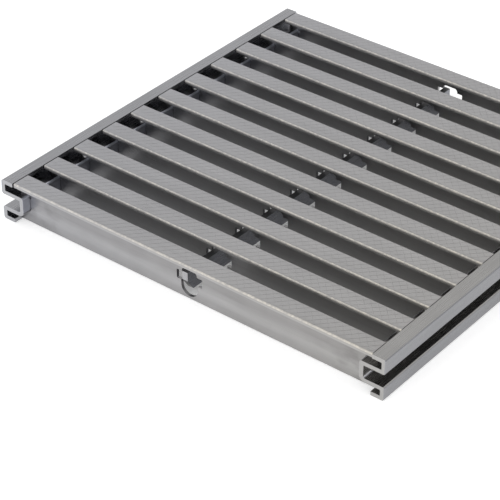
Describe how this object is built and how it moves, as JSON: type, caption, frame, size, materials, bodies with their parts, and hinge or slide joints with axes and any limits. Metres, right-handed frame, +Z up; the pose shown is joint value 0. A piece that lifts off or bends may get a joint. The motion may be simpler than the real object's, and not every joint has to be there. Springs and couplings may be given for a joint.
{
  "type": "channel drain grate",
  "caption": "Flat drain channel grate: T-section slats held between two folded side rails, with a locking strip through the middle.",
  "frame": {"origin": "middle of the underside, on the plane of the rails' lips", "axes": "+X along the slats, +Y along the rails and the channel, +Z up to the walking surface"},
  "size_m": [0.2144, 0.211, 0.021],
  "materials": {
    "slat_steel": "brushed, with a fine raised anti-slip pattern on top",
    "rail_steel": "brushed along the rail",
    "strip_steel": "satin, cut edges",
    "weld_steel": "bright weld metal"
  },
  "bodies": {
    "root": {"rail_left": "rail_steel", "rail_right": "rail_steel", "slat_01": "slat_steel", "slat_02": "slat_steel", "slat_03": "slat_steel", "slat_04": "slat_steel", "slat_05": "slat_steel", "slat_06": "slat_steel", "slat_07": "slat_steel", "slat_08": "slat_steel", "slat_09": "slat_steel", "slat_10": "slat_steel", "slat_11": "slat_steel", "lock_strip": "strip_steel", "tack_welds": "weld_steel"}
  },
  "joints": []
}
